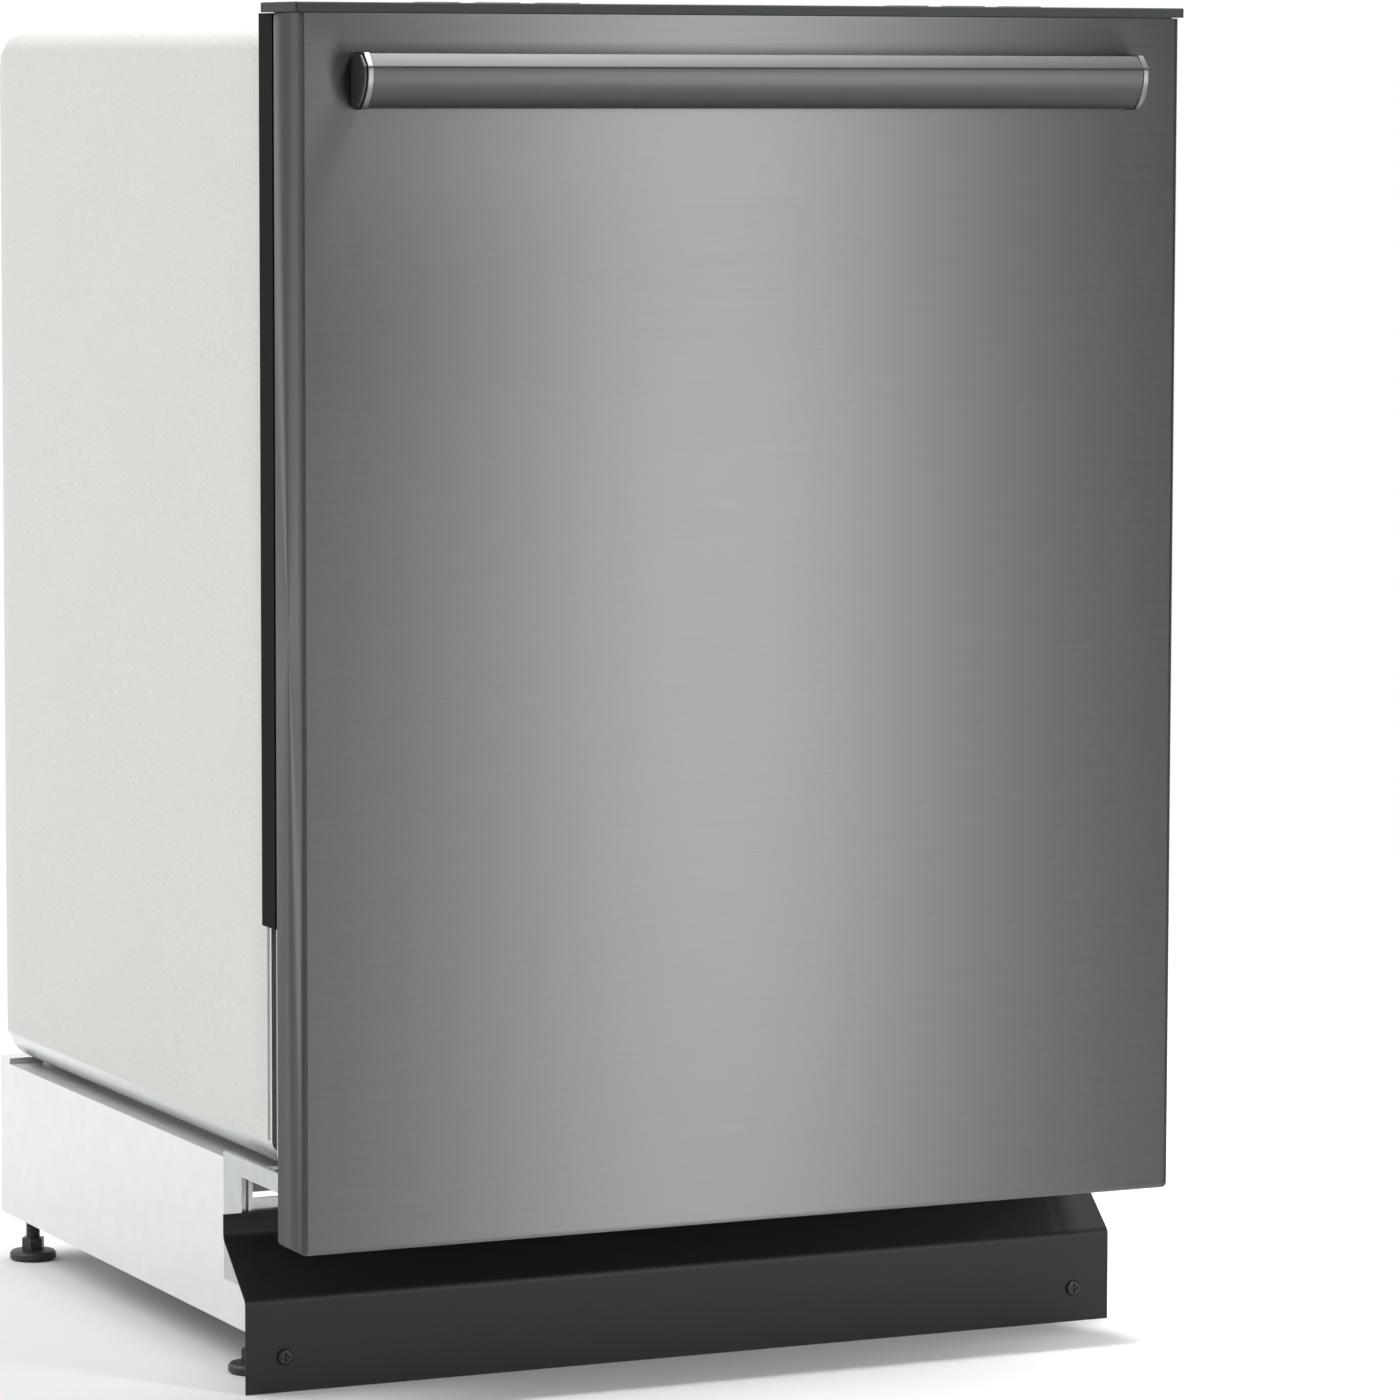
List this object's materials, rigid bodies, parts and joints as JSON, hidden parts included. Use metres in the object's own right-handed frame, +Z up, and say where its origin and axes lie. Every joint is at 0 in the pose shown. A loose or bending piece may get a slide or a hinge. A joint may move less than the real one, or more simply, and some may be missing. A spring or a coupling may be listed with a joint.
{
  "type": "built in dishwasher",
  "caption": "Built-in dishwasher with a drop-down door, bar handle, top-edge controls, sliding racks, spray arms and a recessed toe kick.",
  "frame": {"origin": "on the floor, under the middle of the overall box", "axes": "+X to the right seen from the front, the door faces -Y, +Z up"},
  "size_m": [0.61, 0.635, 0.864],
  "materials": {
    "black_stainless": "fine horizontal brushing, dark clear coat",
    "cap_plastic": "satin dark grey",
    "window_plastic": "glossy smoked",
    "button_plastic": "satin",
    "handle_metal": "brushed along its length",
    "handle_chrome": "polished",
    "end_cap_plastic": "satin black",
    "liner_steel": "satin",
    "sound_mat": "dull",
    "zinc_steel": "galvanised",
    "dispenser_plastic": "moulded grey",
    "blue_plastic": "moulded",
    "latch_plastic": "moulded",
    "latch_steel": "zinc plated",
    "seal_rubber": "dull",
    "tub_steel": "satin",
    "blanket_felt": "needled fibre",
    "arm_plastic": "moulded grey",
    "element_steel": "heat tinted",
    "filter_steel": "fine mesh",
    "sump_plastic": "moulded",
    "hose_plastic": "corrugated",
    "valve_brass": "cast",
    "box_steel": "galvanised",
    "toe_paint": "satin black",
    "screw_steel": "black oxide",
    "spring_steel": "oiled",
    "foot_plastic": "moulded foot on a plated screw",
    "rack_vinyl": "nylon coated wire",
    "shelf_plastic": "moulded",
    "wheel_plastic": "moulded",
    "slide_steel": "rolled stainless"
  },
  "bodies": {
    "machine": {"tub": "tub_steel", "tub_gasket": "seal_rubber", "side_trim_strips": "seal_rubber", "insulation_blanket": "blanket_felt", "latch_strike": "latch_steel", "mounting_brackets": "zinc_steel", "feed_tube": "arm_plastic", "heating_element": "element_steel", "sump": "sump_plastic", "filter_plate": "filter_steel", "wash_pump": "sump_plastic", "drain_pump": "sump_plastic", "drain_hose": "hose_plastic", "inlet_valve": "valve_brass", "junction_box": "box_steel", "base_frame": "zinc_steel", "toe_kick": "toe_paint", "toe_kick_screws": "screw_steel", "hinge_brackets": "zinc_steel", "rack_tracks": "slide_steel", "door_springs": "spring_steel"},
    "door": {"door_outer_panel": "black_stainless", "console_cap": "cap_plastic", "display_window": "window_plastic", "handle_bar": "handle_metal", "handle_end_trims": "handle_chrome", "handle_end_caps": "end_cap_plastic", "door_liner": "liner_steel", "door_insulation": "sound_mat", "hinge_arms": "zinc_steel", "detergent_dispenser": "dispenser_plastic", "door_vent": "dispenser_plastic", "latch_housing": "latch_plastic", "door_bottom_seal": "seal_rubber"},
    "button_power": {"button_power": "button_plastic"},
    "button_cycle": {"button_cycle": "button_plastic"},
    "button_options": {"button_options": "button_plastic"},
    "button_delay": {"button_delay": "button_plastic"},
    "button_dry": {"button_dry": "button_plastic"},
    "button_start": {"button_start": "button_plastic"},
    "door_latch": {"door_latch": "latch_steel"},
    "detergent_lid": {"detergent_lid": "dispenser_plastic"},
    "rinse_aid_cap": {"rinse_aid_cap": "blue_plastic"},
    "overflow_float": {"overflow_float": "arm_plastic"},
    "filter_cup": {"filter_cup": "arm_plastic"},
    "lower_spray_arm": {"lower_spray_arm": "arm_plastic"},
    "middle_spray_arm": {"middle_spray_arm": "arm_plastic"},
    "top_spray_arm": {"top_spray_arm": "arm_plastic"},
    "lower_rack": {"lower_rack": "rack_vinyl"},
    "silverware_basket": {"silverware_basket": "shelf_plastic"},
    "rack_slides": {"rack_slides": "slide_steel"},
    "cup_shelf": {"cup_shelf": "shelf_plastic"},
    "leg_front_left": {"leg_front_left": "foot_plastic"},
    "leg_front_right": {"leg_front_right": "foot_plastic"},
    "leg_rear_left": {"leg_rear_left": "foot_plastic"},
    "leg_rear_right": {"leg_rear_right": "foot_plastic"},
    "lower_wheels_front": {"lower_wheels_front": "wheel_plastic"},
    "lower_wheels_rear": {"lower_wheels_rear": "wheel_plastic"},
    "upper_rack": {"upper_rack": "rack_vinyl", "rack_runners": "slide_steel"}
  },
  "joints": [
    {"name": "door_hinge", "type": "hinge", "parent": "machine", "child": "door", "pos_m": [0, -0.2488, 0.13], "axis": [1, 0, 0], "range_deg": [0, 90], "stiffness_Nm_per_rad": 24, "springref_deg": -8.02},
    {"name": "press_power", "type": "slide", "parent": "door", "child": "button_power", "axis": [0, 0, -1], "range_m": [0, 0.001], "stiffness_N_per_m": 400},
    {"name": "press_cycle", "type": "slide", "parent": "door", "child": "button_cycle", "axis": [0, 0, -1], "range_m": [0, 0.001], "stiffness_N_per_m": 400},
    {"name": "press_options", "type": "slide", "parent": "door", "child": "button_options", "axis": [0, 0, -1], "range_m": [0, 0.001], "stiffness_N_per_m": 400},
    {"name": "press_delay", "type": "slide", "parent": "door", "child": "button_delay", "axis": [0, 0, -1], "range_m": [0, 0.001], "stiffness_N_per_m": 400},
    {"name": "press_dry", "type": "slide", "parent": "door", "child": "button_dry", "axis": [0, 0, -1], "range_m": [0, 0.001], "stiffness_N_per_m": 400},
    {"name": "press_start", "type": "slide", "parent": "door", "child": "button_start", "axis": [0, 0, -1], "range_m": [0, 0.001], "stiffness_N_per_m": 400},
    {"name": "latch_pivot", "type": "hinge", "parent": "door", "child": "door_latch", "pos_m": [0, -0.2558, 0.8482], "axis": [1, 0, 0], "range_deg": [0, 12]},
    {"name": "lid_slide", "type": "slide", "parent": "door", "child": "detergent_lid", "axis": [0, 0, -1], "range_m": [0, 0.056]},
    {"name": "rinse_cap_turn", "type": "hinge", "parent": "door", "child": "rinse_aid_cap", "pos_m": [0.024, -0.2418, 0.527], "axis": [0, 1, 0], "range_deg": [0, 90]},
    {"name": "float_rise", "type": "slide", "parent": "machine", "child": "overflow_float", "axis": [0, 0, 1], "range_m": [0, 0.01]},
    {"name": "filter_turn", "type": "hinge", "parent": "machine", "child": "filter_cup", "pos_m": [0.052, 0.03285, 0.12], "axis": [0, 0, 1], "range_deg": [0, 60]},
    {"name": "lower_arm_spin", "type": "hinge", "parent": "machine", "child": "lower_spray_arm", "pos_m": [0, 0.03285, 0.178], "axis": [0, 0, 1], "continuous": true},
    {"name": "top_arm_spin", "type": "hinge", "parent": "machine", "child": "top_spray_arm", "pos_m": [0, 0.03285, 0.81], "axis": [0, 0, 1], "continuous": true},
    {"name": "lower_rack_slide", "type": "slide", "parent": "machine", "child": "lower_rack", "axis": [0, -1, 0], "range_m": [0, 0.142]},
    {"name": "front_wheels_roll", "type": "hinge", "parent": "lower_rack", "child": "lower_wheels_front", "pos_m": [0, -0.1118, 0.16], "axis": [1, 0, 0], "range_deg": [0, 480]},
    {"name": "rear_wheels_roll", "type": "hinge", "parent": "lower_rack", "child": "lower_wheels_rear", "pos_m": [0, 0.205, 0.16], "axis": [1, 0, 0], "range_deg": [0, 480]},
    {"name": "basket_lift", "type": "slide", "parent": "lower_rack", "child": "silverware_basket", "axis": [0, 0, 1], "range_m": [0, 0.08]},
    {"name": "slides_extend", "type": "slide", "parent": "machine", "child": "rack_slides", "axis": [0, -1, 0], "range_m": [0, 0.236]},
    {"name": "upper_rack_slide", "type": "slide", "parent": "rack_slides", "child": "upper_rack", "axis": [0, -1, 0], "range_m": [0, 0.236]},
    {"name": "middle_arm_spin", "type": "hinge", "parent": "upper_rack", "child": "middle_spray_arm", "pos_m": [0, 0.03285, 0.53], "axis": [0, 0, 1], "continuous": true},
    {"name": "cup_shelf_fold", "type": "hinge", "parent": "upper_rack", "child": "cup_shelf", "pos_m": [-0.253, 0.03285, 0.628], "axis": [0, -1, 0], "range_deg": [0, 85]},
    {"name": "front_left_levelling", "type": "slide", "parent": "machine", "child": "leg_front_left", "axis": [0, 0, -1], "range_m": [0, 0.025]},
    {"name": "front_right_levelling", "type": "slide", "parent": "machine", "child": "leg_front_right", "axis": [0, 0, -1], "range_m": [0, 0.025]},
    {"name": "rear_left_levelling", "type": "slide", "parent": "machine", "child": "leg_rear_left", "axis": [0, 0, -1], "range_m": [0, 0.025]},
    {"name": "rear_right_levelling", "type": "slide", "parent": "machine", "child": "leg_rear_right", "axis": [0, 0, -1], "range_m": [0, 0.025]}
  ],
  "couplings": [
    {"joint": "lower_rack_slide", "follows": "door_hinge", "m_per_rad": 0.09},
    {"joint": "front_wheels_roll", "follows": "door_hinge", "ratio": 5.2941},
    {"joint": "rear_wheels_roll", "follows": "door_hinge", "ratio": 5.2941},
    {"joint": "slides_extend", "follows": "door_hinge", "m_per_rad": 0.15},
    {"joint": "upper_rack_slide", "follows": "door_hinge", "m_per_rad": 0.15}
  ]
}
